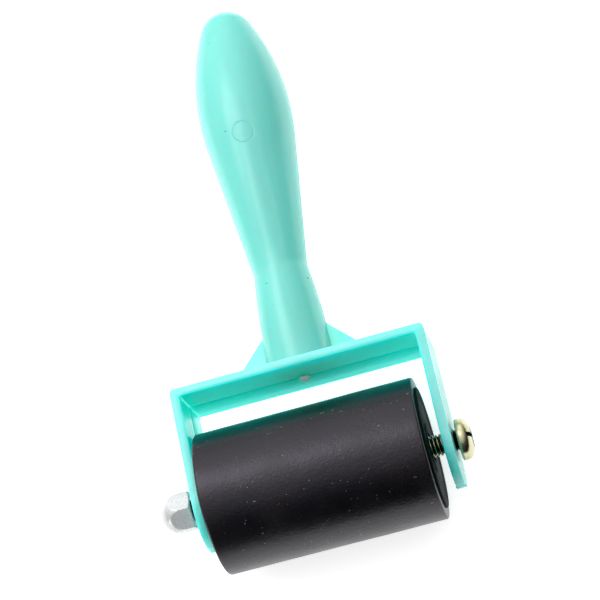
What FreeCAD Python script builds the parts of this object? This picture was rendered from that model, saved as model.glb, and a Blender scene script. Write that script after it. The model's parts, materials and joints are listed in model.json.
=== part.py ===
import FreeCAD, Part
import math
import os

import Sketcher
from FreeCAD import Placement, Rotation, Vector

# A hand brayer: a rubber roller on a screw axle, held in the two arms of a one-piece plastic handle.
# Every piece is drawn in the tool's own axes, with the roller's axis along X and the handle along +Y
# from it. lay_down then puts the tool on a table, resting on the roller and on the swell of the handle.

# Driving dimensions, in millimetres, and two turns in degrees. Each one becomes a named spreadsheet cell.
SIZES = {
    # Roller: rubber sleeve on a core tube, set off towards the left arm by roller_shift
    "roller_half": 30.0,
    "roller_radius": 19.3,
    "roller_shift": 1.6,
    "rim_round": 0.6,
    "core_radius": 13.0,
    "core_bore": 11.0,
    # End caps: a flange outside the tube, a skirt inside it and a bored hub
    "flange_radius": 16.4,
    "flange_thickness": 0.65,
    "flange_round": 0.5,
    "plug_depth": 12.0,
    "plug_wall": 2.0,
    "hub_radius": 5.5,
    "hub_bore": 3.15,
    "mouth_radius": 4.2,
    "mouth_depth": 1.6,
    "dish_radius": 13.6,
    "dish_depth": 0.4,
    # Yoke: crossbar and arms of one plate thickness
    "arm_gap_half": 32.6,
    "plate": 2.5,
    "yoke_half_depth": 11.5,
    "end_drop": 0.75,
    "bar_underside": 28.1,
    "corner_round": 1.2,
    "edge_round": 0.8,
    "axle_hole": 3.25,
    # Handle: heights are from the crossbar's top
    "stem_radius": 9.25,
    "stem_curve": 215.0,
    "neck_radius": 7.5,
    "neck_height": 28.5,
    "swell_radius": 13.1,
    "swell_height": 76.5,
    "shoulder_curve": 69.0,
    "handle_height": 109.0,
    "gusset_reach": 19.4,
    "gusset_rise": 12.7,
    "gusset_half": 1.3,
    # Axle screw: M6 x 80 with a pan head, slotted and cross recessed
    "shank_radius": 2.95,
    "shank_length": 80.0,
    "tip_bevel": 0.6,
    "head_radius": 5.6,
    "head_height": 3.8,
    "head_round": 2.4,
    "head_gap": 1.0,
    "slot_half": 0.6,
    "slot_depth": 1.2,
    "cross_half": 2.6,
    "cross_depth": 2.2,
    "recess_turn": 92.0,
    # Cap nut: M6 low domed nut, 10 across its flats
    "nut_turn": 35.0,
    "nut_gap": 2.0,
    "nut_corner": 5.7735,
    "nut_height": 9.0,
    "nut_dome_radius": 5.6,
    "nut_edge_radius": 5.4,
    "nut_thread_depth": 7.2,
    "nut_bevel": 0.75,
    "nut_bevel_depth": 0.45,
}

SHEET_NAME = "sizes"
PARTS_FOLDER = "parts"
TOUCH = 0.01
PARALLEL = 0.999


def amount(terms):
    """The sum of signed size names, such as "core_radius -plate", as a number."""
    total = 0.0
    for term in terms.split():
        sign = -1.0 if term.startswith("-") else 1.0
        total += sign * SIZES[term.lstrip("-")]
    return total


def formula(terms):
    """The same sum written as an expression on the spreadsheet."""
    words = ["0"]
    for term in terms.split():
        sign = "-" if term.startswith("-") else "+"
        words.append(f"{sign} {SHEET_NAME}.{term.lstrip('-')}")
    return " ".join(words)


def make_sheet(doc):
    sheet = doc.addObject("Spreadsheet::Sheet", SHEET_NAME)
    for row, (name, value) in enumerate(SIZES.items(), start=1):
        sheet.set(f"A{row}", name)
        sheet.set(f"B{row}", str(value))
        sheet.setAlias(f"B{row}", name)
    doc.recompute()


def make_body(doc, label):
    body = doc.addObject("PartDesign::Body", label)
    body.Label = label
    return body


def make_sketch(body, name, role):
    sketch = body.newObject("Sketcher::SketchObject", name)
    plane = next(item for item in body.Origin.OriginFeatures if item.Role == role)
    sketch.AttachmentSupport = [(plane, "")]
    sketch.MapMode = "FlatFace"
    return sketch


def hold(sketch, kind, geometry, point, terms):
    """Hold one coordinate of a point at a sum of sizes."""
    constraint = Sketcher.Constraint(kind, geometry, point, amount(terms))
    number = sketch.addConstraint(constraint)
    sketch.setExpression(f"Constraints[{number}]", formula(terms))


def hold_point(sketch, geometry, point, place):
    hold(sketch, "DistanceX", geometry, point, place[0])
    hold(sketch, "DistanceY", geometry, point, place[1])


def hold_radius(sketch, geometry, terms):
    constraint = Sketcher.Constraint("Radius", geometry, amount(terms))
    number = sketch.addConstraint(constraint)
    sketch.setExpression(f"Constraints[{number}]", formula(terms))


def draw_outline(sketch, corners):
    """A closed straight-sided outline. Each corner is a pair of sums of sizes."""
    points = [Vector(amount(x), amount(y), 0) for x, y in corners]
    first = sketch.GeometryCount
    for start, end in zip(points, points[1:] + points[:1]):
        sketch.addGeometry(Part.LineSegment(start, end), False)
    count = len(corners)
    for index, corner in enumerate(corners):
        following = first + (index + 1) % count
        sketch.addConstraint(Sketcher.Constraint("Coincident", first + index, 2, following, 1))
        hold_point(sketch, first + index, 1, corner)


def draw_circle(sketch, radius):
    circle = Part.Circle(Vector(0, 0, 0), Vector(0, 0, 1), amount(radius))
    number = sketch.addGeometry(circle, False)
    sketch.addConstraint(Sketcher.Constraint("Coincident", number, 3, -1, 1))
    hold_radius(sketch, number, radius)


def revolve(body, name, sketch, axis, kind="PartDesign::Revolution"):
    turned = body.newObject(kind, name)
    turned.Profile = sketch
    turned.ReferenceAxis = (sketch, [axis])
    turned.Angle = 360
    body.Document.recompute()
    return turned


def pad_both_ways(body, name, sketch, half):
    pad = body.newObject("PartDesign::Pad", name)
    pad.Profile = sketch
    pad.SideType = "Symmetric"
    pad.setExpression("Length", f"2 * {SHEET_NAME}.{half}")
    body.Document.recompute()
    return pad


def cut_right_through(body, name, sketch):
    pocket = body.newObject("PartDesign::Pocket", name)
    pocket.Profile = sketch
    pocket.SideType = "Symmetric"
    pocket.Type = "ThroughAll"
    body.Document.recompute()
    return pocket


def round_edges(body, name, base, radius, wanted):
    """Fillet every edge of the base feature that the wanted test accepts."""
    names = [f"Edge{number}" for number, edge in enumerate(base.Shape.Edges, start=1) if wanted(edge)]
    fillet = body.newObject("PartDesign::Fillet", name)
    fillet.Base = (base, names)
    fillet.setExpression("Radius", f"{SHEET_NAME}.{radius}")
    body.Document.recompute()
    return fillet


def runs_along(edge, direction):
    """True for a straight edge parallel to the direction."""
    if edge.Degenerated or not isinstance(edge.Curve, Part.Line):
        return False
    return abs(edge.Curve.Direction.dot(direction)) > PARALLEL


def is_circle(edge, radius, along=None):
    """True for a circular edge of a radius, at a place along X where one is given."""
    if edge.Degenerated or not isinstance(edge.Curve, Part.Circle):
        return False
    if along is not None and abs(edge.Curve.Center.x - along) > TOUCH:
        return False
    return abs(edge.Curve.Radius - radius) < TOUCH


def make_yoke(body):
    """The crossbar and both flat arms, as one U-shaped moulding with round arm ends."""
    outer = "arm_gap_half plate"
    top = "bar_underside plate"
    sketch = make_sketch(body, "yoke_outline", "XY_Plane")
    end = "-yoke_half_depth -end_drop"
    draw_outline(sketch, [
        ("-arm_gap_half -plate", end),
        ("-arm_gap_half -plate", top),
        (outer, top),
        (outer, end),
        ("arm_gap_half", end),
        ("arm_gap_half", "bar_underside"),
        ("-arm_gap_half", "bar_underside"),
        ("-arm_gap_half", end),
    ])
    yoke = pad_both_ways(body, "yoke", sketch, "yoke_half_depth")

    def at_outer_corner(edge):
        middle = edge.CenterOfMass
        return runs_along(edge, Vector(0, 0, 1)) and middle.y > amount(top) - TOUCH

    round_edges(body, "outer_corners", yoke, "corner_round", at_outer_corner)
    ends = make_sketch(body, "arm_end_outline", "YZ_Plane")
    draw_arm_end(ends)
    cut_right_through(body, "arm_ends", ends)
    holes = make_sketch(body, "axle_hole_outline", "YZ_Plane")
    draw_circle(holes, "axle_hole")
    return cut_right_through(body, "axle_holes", holes)


def draw_arm_end(sketch):
    """What is cut away around the round end of an arm, which is centred just below the axle."""
    radius = "yoke_half_depth"
    beyond = "-yoke_half_depth -end_drop -plate"
    margin = "yoke_half_depth plate"
    drop = amount("end_drop")
    arc = Part.Arc(
        Vector(-drop, amount(radius), 0),
        Vector(-drop - amount(radius), 0, 0),
        Vector(-drop, -amount(radius), 0),
    )
    corners = [
        ("-end_drop", "-yoke_half_depth"),
        ("-end_drop", "-yoke_half_depth -plate"),
        (beyond, "-yoke_half_depth -plate"),
        (beyond, margin),
        ("-end_drop", margin),
        ("-end_drop", radius),
    ]
    points = [Vector(amount(x), amount(y), 0) for x, y in corners]
    for start, end in zip(points, points[1:]):
        sketch.addGeometry(Part.LineSegment(start, end), False)
    bend = sketch.addGeometry(arc, False)
    for index, corner in enumerate(corners[:-1]):
        hold_point(sketch, index, 1, corner)
        if index:
            sketch.addConstraint(Sketcher.Constraint("Coincident", index - 1, 2, index, 1))
    hold_point(sketch, bend, 3, ("-end_drop", ""))
    sketch.addConstraint(Sketcher.Constraint("Coincident", bend, 1, bend - 1, 2))
    sketch.addConstraint(Sketcher.Constraint("Coincident", bend, 2, 0, 1))
    hold(sketch, "DistanceX", bend, 1, "-end_drop")


def shoulder_points():
    """Where the grip's cone runs into the shoulder curve, and the shoulder into the round tip.

    The shoulder is an arc whose widest point is the swell. The tip is an arc centred on the handle's
    axis, tangent to the shoulder. Heights are measured from the crossbar's top.
    """
    curve = amount("shoulder_curve")
    centre = Vector(amount("swell_radius") - curve, amount("swell_height"), 0)
    neck = Vector(amount("neck_radius"), amount("neck_height"), 0)
    reach = neck - centre
    distance = reach.Length
    angle = math.atan2(reach.y, reach.x) + math.acos(curve / distance)
    meets_cone = centre + Vector(math.cos(angle), math.sin(angle), 0) * curve
    rise = amount("handle_height") - centre.y
    tip_radius = (curve * curve - rise * rise - centre.x * centre.x) / (2 * (curve - rise))
    tip_centre = Vector(0, amount("handle_height") - tip_radius, 0)
    outward = (tip_centre - centre).normalize()
    meets_tip = tip_centre + outward * tip_radius
    return centre, meets_cone, meets_tip, tip_centre, tip_radius


def arc_between(centre, radius, start, end):
    """The anticlockwise arc from start to end."""
    circle = Part.Circle(centre, Vector(0, 0, 1), radius)
    return Part.ArcOfCircle(circle, circle.parameter(start), circle.parameter(end))


def draw_handle(sketch):
    """Half of the handle's outline: a bowed stem, a sharp neck, a long cone, a shoulder and a tip."""
    base = amount("bar_underside plate")
    lift = Vector(0, base, 0)
    centre, meets_cone, meets_tip, tip_centre, tip_radius = (
        item + lift if isinstance(item, Vector) else item for item in shoulder_points()
    )
    root = Vector(0, amount("bar_underside"), 0)
    foot = Vector(amount("stem_radius"), root.y, 0)
    stem = Vector(amount("stem_radius"), base, 0)
    neck = Vector(amount("neck_radius"), base + amount("neck_height"), 0)
    tip = Vector(0, base + amount("handle_height"), 0)
    chord = neck - stem
    bow = amount("stem_curve")
    inward = Vector(-chord.y, chord.x, 0).normalize()
    bow_centre = (stem + neck) * 0.5 + inward * math.sqrt(bow * bow - chord.Length ** 2 / 4)
    edges = [
        Part.LineSegment(root, foot),
        Part.LineSegment(foot, stem),
        arc_between(bow_centre, bow, stem, neck),
        Part.LineSegment(neck, meets_cone),
        arc_between(centre, amount("shoulder_curve"), meets_cone, meets_tip),
        arc_between(tip_centre, tip_radius, meets_tip, tip),
        Part.LineSegment(tip, root),
    ]
    for edge in edges:
        sketch.addGeometry(edge, False)
    cone, shoulder = 3, 4
    for index in range(len(edges)):
        kind = "Tangent" if index in (cone, shoulder) else "Coincident"
        sketch.addConstraint(Sketcher.Constraint(kind, index, 2, (index + 1) % len(edges), 1))
    top = "bar_underside plate"
    hold_point(sketch, 0, 1, ("", "bar_underside"))
    hold_point(sketch, 1, 1, ("stem_radius", "bar_underside"))
    hold_point(sketch, 2, 1, ("stem_radius", top))
    hold_point(sketch, 3, 1, ("neck_radius", f"{top} neck_height"))
    hold_radius(sketch, 2, "stem_curve")
    hold_point(sketch, 4, 3, ("swell_radius -shoulder_curve", f"{top} swell_height"))
    hold_radius(sketch, 4, "shoulder_curve")
    hold(sketch, "DistanceX", 5, 3, "")
    hold_point(sketch, 6, 1, ("", f"{top} handle_height"))


def make_handle_frame(doc):
    """The one-piece moulding: solid handle, two gussets, crossbar and arms."""
    body = make_body(doc, "handle_frame")
    make_yoke(body)
    profile = make_sketch(body, "handle_outline", "XY_Plane")
    draw_handle(profile)
    revolve(body, "handle", profile, "V_Axis")
    gusset = make_sketch(body, "gusset_outline", "XY_Plane")
    top = "bar_underside plate"
    draw_outline(gusset, [
        ("-gusset_reach", "bar_underside"),
        ("gusset_reach", "bar_underside"),
        ("gusset_reach", top),
        ("stem_radius -plate", f"{top} gusset_rise"),
        ("-stem_radius plate", f"{top} gusset_rise"),
        ("-gusset_reach", top),
    ])
    gussets = pad_both_ways(body, "gussets", gusset, "gusset_half")
    depth = amount("yoke_half_depth")

    def at_front_or_back(edge):
        in_flat_face = edge.BoundBox.ZLength < TOUCH
        return in_flat_face and abs(abs(edge.CenterOfMass.z) - depth) < TOUCH

    round_edges(body, "yoke_edges", gussets, "edge_round", at_front_or_back)
    return body


def make_rubber_sleeve(doc):
    body = make_body(doc, "rubber_sleeve")
    sketch = make_sketch(body, "sleeve_outline", "XY_Plane")
    draw_outline(sketch, [
        ("-roller_half", "core_radius"),
        ("roller_half", "core_radius"),
        ("roller_half", "roller_radius"),
        ("-roller_half", "roller_radius"),
    ])
    sleeve = revolve(body, "sleeve", sketch, "H_Axis")
    outer = amount("roller_radius")
    round_edges(body, "rims", sleeve, "rim_round", lambda edge: is_circle(edge, outer))
    return body


def make_core_tube(doc):
    body = make_body(doc, "core_tube")
    sketch = make_sketch(body, "tube_outline", "XY_Plane")
    draw_outline(sketch, [
        ("-roller_half", "core_bore"),
        ("roller_half", "core_bore"),
        ("roller_half", "core_radius"),
        ("-roller_half", "core_radius"),
    ])
    revolve(body, "tube", sketch, "H_Axis")
    return body


def make_end_cap(doc, label):
    """A flanged plug: a dished face over the roller's end, a skirt in the tube and a bored hub."""
    body = make_body(doc, label)
    sketch = make_sketch(body, "cap_outline", "XY_Plane")
    face = "roller_half flange_thickness"
    inner = "roller_half -plug_depth"
    draw_outline(sketch, [
        (inner, "hub_bore"),
        (f"{face} -dish_depth -mouth_depth", "hub_bore"),
        (f"{face} -dish_depth", "mouth_radius"),
        (f"{face} -dish_depth", "dish_radius"),
        (face, "dish_radius plug_wall -dish_depth"),
        (face, "flange_radius"),
        ("roller_half", "flange_radius"),
        ("roller_half", "core_bore"),
        (inner, "core_bore"),
        (inner, "core_bore -plug_wall"),
        ("roller_half -plug_wall", "core_bore -plug_wall"),
        ("roller_half -plug_wall", "hub_radius"),
        (inner, "hub_radius"),
    ])
    cap = revolve(body, "cap", sketch, "H_Axis")
    rim = amount("flange_radius")
    outside = amount(face)
    round_edges(body, "flange_edge", cap, "flange_round", lambda edge: is_circle(edge, rim, outside))
    return body


def make_axle_screw(doc):
    """A pan-head machine screw drawn from the underside of its head, which is at x = 0."""
    body = make_body(doc, "axle_screw")
    sketch = make_sketch(body, "screw_outline", "XY_Plane")
    draw_outline(sketch, [
        ("-shank_length", ""),
        ("-shank_length", "shank_radius -tip_bevel"),
        ("-shank_length tip_bevel", "shank_radius"),
        ("", "shank_radius"),
        ("", "head_radius"),
        ("head_height", "head_radius"),
        ("head_height", ""),
    ])
    turned = revolve(body, "shank_and_head", sketch, "H_Axis")
    top = amount("head_height")
    rim = amount("head_radius")
    round_edges(body, "head_crown", turned, "head_round", lambda edge: is_circle(edge, rim, top))
    cut_recess(body, "slot", "head_radius", "slot_half", "slot_depth")
    cut_recess(body, "cross_upright", "cross_half", "slot_half", "cross_depth")
    cut_recess(body, "cross_level", "slot_half", "cross_half", "cross_depth")
    return body


def cut_recess(body, name, half_width, half_height, depth):
    """Cut a rectangular recess into the outer face of the screw head."""
    volume = body.Shape.Volume
    sketch = make_sketch(body, f"{name}_outline", "YZ_Plane")
    sketch.setExpression("AttachmentOffset.Base.z", formula("head_height"))
    draw_outline(sketch, [
        (f"-{half_width}", f"-{half_height}"),
        (half_width, f"-{half_height}"),
        (half_width, half_height),
        (f"-{half_width}", half_height),
    ])
    pocket = body.newObject("PartDesign::Pocket", name)
    pocket.Profile = sketch
    pocket.setExpression("Length", formula(depth))
    body.Document.recompute()
    if body.Shape.Volume >= volume:
        raise RuntimeError(f"{name} removed nothing")


def make_cap_nut(doc):
    """A low domed nut drawn from its bearing face at x = 0, with the dome towards -X."""
    body = make_body(doc, "cap_nut")
    hexagon = make_sketch(body, "hex_outline", "YZ_Plane")
    draw_hexagon(hexagon)
    prism = body.newObject("PartDesign::Pad", "hex")
    prism.Profile = hexagon
    prism.Reversed = True
    prism.setExpression("Length", formula("nut_height"))
    body.Document.recompute()
    waste = make_sketch(body, "dome_waste_outline", "XY_Plane")
    draw_dome_waste(waste)
    turn_off(body, "dome", waste)
    bevel = make_sketch(body, "bevel_waste_outline", "XY_Plane")
    draw_outline(bevel, [
        ("nut_bevel_depth", "nut_corner -nut_bevel -nut_bevel"),
        ("-nut_bevel_depth", "nut_corner"),
        ("-nut_bevel_depth", "nut_corner plate"),
        ("nut_bevel_depth", "nut_corner plate"),
    ])
    turn_off(body, "bevel", bevel)
    thread = make_sketch(body, "thread_outline", "XY_Plane")
    draw_outline(thread, [
        ("", ""),
        ("", "shank_radius"),
        ("-nut_thread_depth", "shank_radius"),
        ("-nut_thread_depth -nut_bevel_depth", ""),
    ])
    turn_off(body, "thread", thread)
    return body


def turn_off(body, name, sketch):
    """Turn an outline off the body, and make sure that it removed something."""
    volume = body.Shape.Volume
    revolve(body, name, sketch, "H_Axis", "PartDesign::Groove")
    if body.Shape.Volume >= volume:
        raise RuntimeError(f"{name} removed nothing")


def draw_hexagon(sketch):
    """A hexagon with two flats facing up and down, held by its corner radius."""
    corners = []
    for index in range(6):
        angle = math.radians(60 * index)
        corners.append(Vector(math.cos(angle), math.sin(angle), 0) * amount("nut_corner"))
    for start, end in zip(corners, corners[1:] + corners[:1]):
        sketch.addGeometry(Part.LineSegment(start, end), False)
    for index in range(6):
        sketch.addConstraint(Sketcher.Constraint("Coincident", index, 2, (index + 1) % 6, 1))
        if index:
            sketch.addConstraint(Sketcher.Constraint("Equal", 0, index))
    circle = Part.Circle(Vector(0, 0, 0), Vector(0, 0, 1), amount("nut_corner"))
    guide = sketch.addGeometry(circle, True)
    sketch.addConstraint(Sketcher.Constraint("Coincident", guide, 3, -1, 1))
    hold_radius(sketch, guide, "nut_corner")
    for index in range(6):
        sketch.addConstraint(Sketcher.Constraint("PointOnObject", index, 1, guide))
    sketch.addConstraint(Sketcher.Constraint("PointOnObject", 0, 1, -1))


def draw_dome_waste(sketch):
    """What is turned off outside the nut's dome, a ball whose top is at the nut's full height."""
    radius = amount("nut_dome_radius")
    centre = Vector(radius - amount("nut_height"), 0, 0)
    edge = Vector(-math.sqrt(radius * radius - amount("nut_edge_radius") ** 2), amount("nut_edge_radius"), 0)
    start = centre + edge
    pole = Vector(-amount("nut_height"), 0, 0)
    outside = Vector(-amount("nut_height plate"), 0, 0)
    corner = Vector(outside.x, amount("nut_corner plate"), 0)
    above = Vector(start.x, corner.y, 0)
    sketch.addGeometry(arc_between(centre, radius, start, pole), False)
    for begin, end in ((pole, outside), (outside, corner), (corner, above), (above, start)):
        sketch.addGeometry(Part.LineSegment(begin, end), False)
    for index in range(5):
        sketch.addConstraint(Sketcher.Constraint("Coincident", index, 2, (index + 1) % 5, 1))
    hold_radius(sketch, 0, "nut_dome_radius")
    hold_point(sketch, 0, 3, ("nut_dome_radius -nut_height", ""))
    hold(sketch, "DistanceY", 0, 1, "nut_edge_radius")
    hold(sketch, "DistanceY", 1, 1, "")
    hold_point(sketch, 2, 1, ("-nut_height -plate", ""))
    hold_point(sketch, 3, 1, ("-nut_height -plate", "nut_corner plate"))
    hold(sketch, "DistanceY", 4, 1, "nut_corner plate")
    sketch.addConstraint(Sketcher.Constraint("Vertical", 4))


def lying_tilt():
    """The angle in degrees by which the handle dips when the tool lies on a table.

    The handle touches the table on its shoulder curve, and the roller on its own radius.
    """
    along = amount("bar_underside plate swell_height")
    across = amount("shoulder_curve -swell_radius")
    drop = amount("shoulder_curve -roller_radius")
    turn = math.atan2(across, along) - math.asin(drop / math.hypot(along, across))
    return math.degrees(turn)


def lay_down(local):
    """A placement in the tool's axes, moved to where the tool lies on the table."""
    lifted = Vector(0, 0, amount("roller_radius"))
    return Placement(lifted, Rotation(Vector(1, 0, 0), -lying_tilt())).multiply(local)


def make_parts(doc):
    """Every sub-part with its placement in the tool's axes."""
    turned_round = Rotation(Vector(0, 1, 0), 180)
    recess_turned = Rotation(Vector(1, 0, 0), amount("recess_turn"))
    nut_turned = Rotation(Vector(1, 0, 0), amount("nut_turn"))
    roller = Vector(-amount("roller_shift"), 0, 0)
    head = Vector(amount("arm_gap_half plate head_gap"), 0, 0)
    nut = Vector(-amount("arm_gap_half plate nut_gap"), 0, 0)
    unturned = Rotation()
    return [
        (make_handle_frame(doc), Placement()),
        (make_rubber_sleeve(doc), Placement(roller, unturned)),
        (make_core_tube(doc), Placement(roller, unturned)),
        (make_end_cap(doc, "end_cap_right"), Placement(roller, unturned)),
        (make_end_cap(doc, "end_cap_left"), Placement(roller, turned_round)),
        (make_axle_screw(doc), Placement(head, recess_turned)),
        (make_cap_nut(doc), Placement(nut, nut_turned)),
    ]


def check_document(doc):
    for item in doc.Objects:
        if "Invalid" in item.State or "Error" in item.State:
            raise RuntimeError(f"{item.Name} did not recompute: {item.State}")


def export(bodies):
    os.makedirs(PARTS_FOLDER, exist_ok=True)
    for body in bodies:
        shape = body.Shape
        if shape.isNull() or not shape.isValid() or len(shape.Solids) != 1:
            raise RuntimeError(f"{body.Label} is not one valid solid")
        shape.exportStep(os.path.join(PARTS_FOLDER, f"{body.Label}.step"))


def main():
    doc = FreeCAD.newDocument("brayer")
    make_sheet(doc)
    placed = make_parts(doc)
    for body, local in placed:
        body.Placement = lay_down(local)
    doc.recompute()
    check_document(doc)
    export([body for body, _ in placed])


main()
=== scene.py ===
import json
import math

import bmesh
import bpy
from mathutils import Matrix, Vector


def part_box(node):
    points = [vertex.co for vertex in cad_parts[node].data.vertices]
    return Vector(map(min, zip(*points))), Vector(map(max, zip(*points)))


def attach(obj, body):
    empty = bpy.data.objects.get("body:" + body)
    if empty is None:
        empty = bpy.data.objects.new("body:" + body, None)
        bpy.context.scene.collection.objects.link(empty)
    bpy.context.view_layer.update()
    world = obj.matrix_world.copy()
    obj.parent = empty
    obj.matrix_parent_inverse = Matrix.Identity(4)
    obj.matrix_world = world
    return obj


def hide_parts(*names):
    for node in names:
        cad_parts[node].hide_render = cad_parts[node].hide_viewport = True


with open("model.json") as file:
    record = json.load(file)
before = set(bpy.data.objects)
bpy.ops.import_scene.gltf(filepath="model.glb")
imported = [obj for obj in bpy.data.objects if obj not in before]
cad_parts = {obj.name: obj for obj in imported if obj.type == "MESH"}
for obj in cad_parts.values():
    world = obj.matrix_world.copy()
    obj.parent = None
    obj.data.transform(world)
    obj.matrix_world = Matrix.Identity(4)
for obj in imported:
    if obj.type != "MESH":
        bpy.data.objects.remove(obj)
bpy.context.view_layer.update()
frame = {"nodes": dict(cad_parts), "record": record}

# A rubber brayer lying on a pale table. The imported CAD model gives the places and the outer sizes. The
# other sizes below repeat the CAD model's, or belong to details that only the visual model has. The
# moving bodies are "frame" (handle and yoke), "axle" (screw and nut) and "roller". Lengths are in metres.

MM = 0.001

# The tool's own axes: X along the roller's axle, Y along the handle, Z out of its front. The record's
# hanging face is square to the handle, so its axis gives the angle at which the tool lies.
MOUNTS = {mount["name"]: mount for mount in frame["record"]["mounts"]}
HANG_AXIS = Vector(MOUNTS["hang_face"]["axis"])
TILT = math.atan2(HANG_AXIS.z, -HANG_AXIS.y)
SLEEVE_LOW, SLEEVE_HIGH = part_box("rubber_sleeve")
AXLE_HEIGHT = (SLEEVE_LOW.z + SLEEVE_HIGH.z) / 2
TOOL = Matrix.Translation((0, 0, AXLE_HEIGHT)) @ Matrix.Rotation(-TILT, 4, "X")


def span_in_tool(node):
    """Lowest and highest corners of a CAD node, measured in the tool's own axes."""
    back = TOOL.inverted()
    corners = [back @ vertex.co for vertex in frame["nodes"][node].data.vertices]
    low = Vector([min(corner[axis] for corner in corners) for axis in range(3)])
    high = Vector([max(corner[axis] for corner in corners) for axis in range(3)])
    return low, high


FRAME_LOW, FRAME_HIGH = span_in_tool("handle_frame")
SCREW_LOW, SCREW_HIGH = span_in_tool("axle_screw")
NUT_LOW, NUT_HIGH = span_in_tool("cap_nut")

# Handle and yoke
YOKE_HALF_WIDTH = FRAME_HIGH.x
YOKE_HALF_DEPTH = 11.5 * MM
END_DROP = -FRAME_LOW.y - YOKE_HALF_DEPTH
PLATE = 2.5 * MM
ARM_INNER = YOKE_HALF_WIDTH - PLATE
BAR_UNDERSIDE = (Vector(MOUNTS["hang_face"]["pos_m"]) - Vector((0, 0, AXLE_HEIGHT))).dot(-HANG_AXIS)
BAR_TOP = BAR_UNDERSIDE + PLATE
TIP_ALLOWANCE = 0.02 * MM  # keeps the curved tip just inside the CAD model's box
HANDLE_HEIGHT = FRAME_HIGH.y - TIP_ALLOWANCE - BAR_TOP
AXLE_HOLE = 3.25 * MM
CORNER_ROUND = 1.2 * MM
INNER_ROUND = 0.5 * MM
EDGE_BEVEL = 0.8 * MM
STEM_RADIUS = 9.25 * MM
STEM_CURVE = 215 * MM
NECK_RADIUS = 7.5 * MM
NECK_HEIGHT = 28.5 * MM
SWELL_RADIUS = 13.1 * MM
SWELL_HEIGHT = 76.5 * MM
SHOULDER_CURVE = 69 * MM
GUSSET_REACH = 19.4 * MM
GUSSET_RISE = 12.7 * MM
GUSSET_HALF = 1.3 * MM

# Mould marks on the plastic
SEAM_HEIGHT = 0.09 * MM
SEAM_HALF_WIDTH = 0.2 * MM
MOULD_STEP = 0.16 * MM
MOULD_STEP_OUTSIDE = 0.04 * MM
EJECTOR_HEIGHT = 66.5 * MM
EJECTOR_RADIUS = 3.0 * MM
EJECTOR_GROOVE = 0.3 * MM
EJECTOR_DEPTH = 0.12 * MM
MARK_REACH = 1.2 * EJECTOR_RADIUS
MARK_MESH = 0.14 * MM
SINK_LOW = 34 * MM
SINK_HIGH = 78 * MM
SINK_HALF_WIDTH = 4.2 * MM
SINK_FLOOR = 0.55 * SINK_HALF_WIDTH
SINK_DEPTH = 0.16 * MM
GATE_RADIUS = 1.55 * MM
GATE_HEIGHT_SHARE = 0.8
GATE_DEPTH_SHARE = 0.6
GATE_LUMP_SHARE = 0.12
GATE_PLACE = (0, BAR_UNDERSIDE, -0.5 * MM)

# Roller
ROLLER_RADIUS = (SLEEVE_HIGH.y - SLEEVE_LOW.y) / 2
CORE_RADIUS = 13 * MM
CORE_BORE = 11 * MM
RIM_ROUND = 0.55 * MM
RIM_STEPS = 6
GRIND_DEPTH = 0.03 * MM
GRIND_LEAST = 1.2
CAP_BORE = 3.15 * MM
CAP_MOUTH = 4.2 * MM
CAP_BOSS_RADIUS = 6.4 * MM
CAP_DISH_RADIUS = 13.6 * MM
CAP_RIM_RADIUS = 15.1 * MM
CAP_DISH_DEPTH = 0.4 * MM
CAP_COUNTERSINK = 1.6 * MM
CAP_WALL = 2 * MM
CAP_HUB_RADIUS = 5.5 * MM

# Axle
THREAD_RADIUS = 2.95 * MM
THREAD_PITCH = 1.0 * MM
THREAD_DEPTH = 0.58 * MM
THREAD_ROOT_RADIUS = THREAD_RADIUS - THREAD_DEPTH
HEAD_RADIUS = 5.6 * MM
HEAD_HEIGHT = 3.8 * MM
HEAD_SHOULDER = 1.3 * MM
HEAD_ROUNDNESS = 0.62
SLOT_HALF_WIDTH = 0.62 * MM
SLOT_DEPTH = 1.2 * MM
CROSS_REACH = 2.7 * MM
CROSS_DEPTH = 2.2 * MM
NUT_FLATS = 5.0 * MM
NUT_HEIGHT = NUT_HIGH.x - NUT_LOW.x
NUT_DOME_RADIUS = 5.6 * MM
NUT_THREAD_DEPTH = 7.2 * MM
NUT_TURN = math.radians(35)
RECESS_TURN = math.radians(92)

# Table, in metres, and the strength of the painted light that the paper gives off round the tool
TABLE_HALF_WIDTH = 3
LIT_RADIUS = 0.16
DIM_RADIUS = 0.30
PAPER_GLOW = 0.68

# Light: the way from which the dome is brightest, its strength, and where the softboxes point
BRIGHTEST_WAY = Vector((-0.18, 0.62, 0.76)).normalized()
DOME_STRENGTH = 1.95
LIGHT_TARGET = Vector((0, 0.04, 0.02))

# Camera: its place is measured in the tool's own axes, its distance in metres, its lens in millimetres
CAMERA_TARGET = Vector((0, 0.045, 0))
CAMERA_AZIMUTH = math.radians(7.45)
CAMERA_ELEVATION = math.radians(-19.17)
CAMERA_ROLL = math.radians(12.85)
CAMERA_DISTANCE = 0.5653
CAMERA_LENS = 124.5
CAMERA_SENSOR = 36
CAMERA_SHIFT = (0.0143, 0.0311)


# ---------------------------------------------------------------- mesh helpers

def new_object(name, data):
    """Make an object around its data and put it in the scene."""
    obj = bpy.data.objects.new(name, data)
    bpy.context.scene.collection.objects.link(obj)
    return obj


def add_object(name, bm, smooth_angle=35):
    """Turn a bmesh drawn in the tool's axes into an object in the row frame."""
    bm.transform(TOOL)
    bmesh.ops.recalc_face_normals(bm, faces=bm.faces)
    mesh = bpy.data.meshes.new(name)
    bm.to_mesh(mesh)
    bm.free()
    mesh.shade_smooth()
    mesh.set_sharp_from_angle(angle=math.radians(smooth_angle))
    return new_object(name, mesh)


def apply_modifiers(obj):
    """Replace the object's mesh with what its modifiers make of it."""
    depsgraph = bpy.context.evaluated_depsgraph_get()
    shaped = bpy.data.meshes.new_from_object(obj.evaluated_get(depsgraph))
    obj.modifiers.clear()
    obj.data = shaped


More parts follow.
